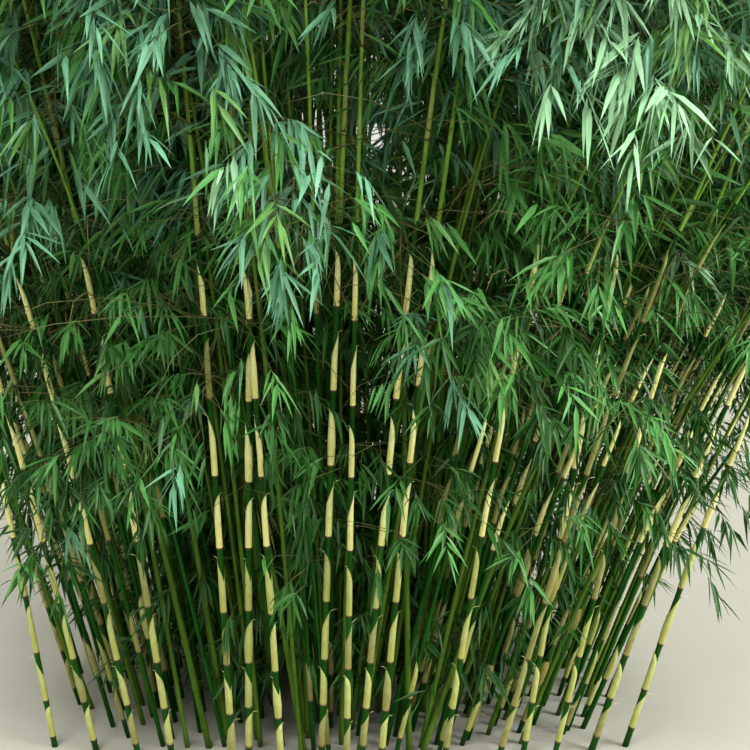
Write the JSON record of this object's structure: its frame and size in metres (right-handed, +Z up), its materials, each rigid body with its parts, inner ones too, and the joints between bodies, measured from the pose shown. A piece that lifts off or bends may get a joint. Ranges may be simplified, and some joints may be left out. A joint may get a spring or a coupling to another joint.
{
  "type": "bamboo clump",
  "caption": "Rooted clump of umbrella bamboo: slender sheathed canes that fan out from open ground into a wide, drooping crown of narrow leaves.",
  "frame": {"origin": "middle of the flat cut under the main cane, at ground level", "axes": "+Z up along the canes, +X to the picture's right, -Y towards the picture's viewer"},
  "size_m": [3.2988, 3.0505, 3.4274],
  "materials": {
    "young_cane": "satin",
    "old_cane": "satin",
    "foliage": "satin"
  },
  "bodies": {
    "root": {"cane_1": "young_cane", "cane_2": "young_cane", "cane_3": "young_cane", "cane_4": "young_cane", "cane_5": "old_cane", "cane_6": "young_cane", "cane_7": "young_cane", "cane_8": "young_cane", "cane_9": "old_cane", "cane_10": "young_cane", "cane_11": "young_cane", "cane_12": "young_cane", "cane_13": "young_cane", "cane_14": "old_cane", "cane_15": "old_cane", "cane_16": "young_cane", "cane_17": "young_cane", "cane_18": "young_cane", "cane_19": "young_cane", "cane_20": "young_cane", "cane_21": "young_cane", "tuft_1": "young_cane", "tuft_2": "old_cane", "tuft_3": "young_cane", "tuft_4": "young_cane", "tuft_5": "old_cane", "tuft_6": "young_cane", "tuft_7": "young_cane", "tuft_8": "old_cane", "tuft_9": "young_cane", "tuft_10": "young_cane", "tuft_11": "old_cane", "tuft_12": "young_cane", "tuft_13": "young_cane", "tuft_14": "old_cane", "tuft_15": "young_cane", "tuft_16": "young_cane", "foliage_low_1": "foliage", "foliage_low_2": "foliage", "foliage_low_3": "foliage", "foliage_low_4": "foliage", "foliage_low_5": "foliage", "foliage_low_6": "foliage", "foliage_low_7": "foliage", "foliage_middle_1": "foliage", "foliage_middle_2": "foliage", "foliage_middle_3": "foliage", "foliage_middle_4": "foliage", "foliage_middle_5": "foliage", "foliage_middle_6": "foliage", "foliage_middle_7": "foliage", "foliage_high_1": "foliage", "foliage_high_2": "foliage", "foliage_high_3": "foliage", "foliage_high_4": "foliage", "foliage_high_5": "foliage", "foliage_high_6": "foliage", "foliage_top_1": "foliage", "foliage_top_2": "foliage", "foliage_top_3": "foliage"}
  },
  "joints": []
}
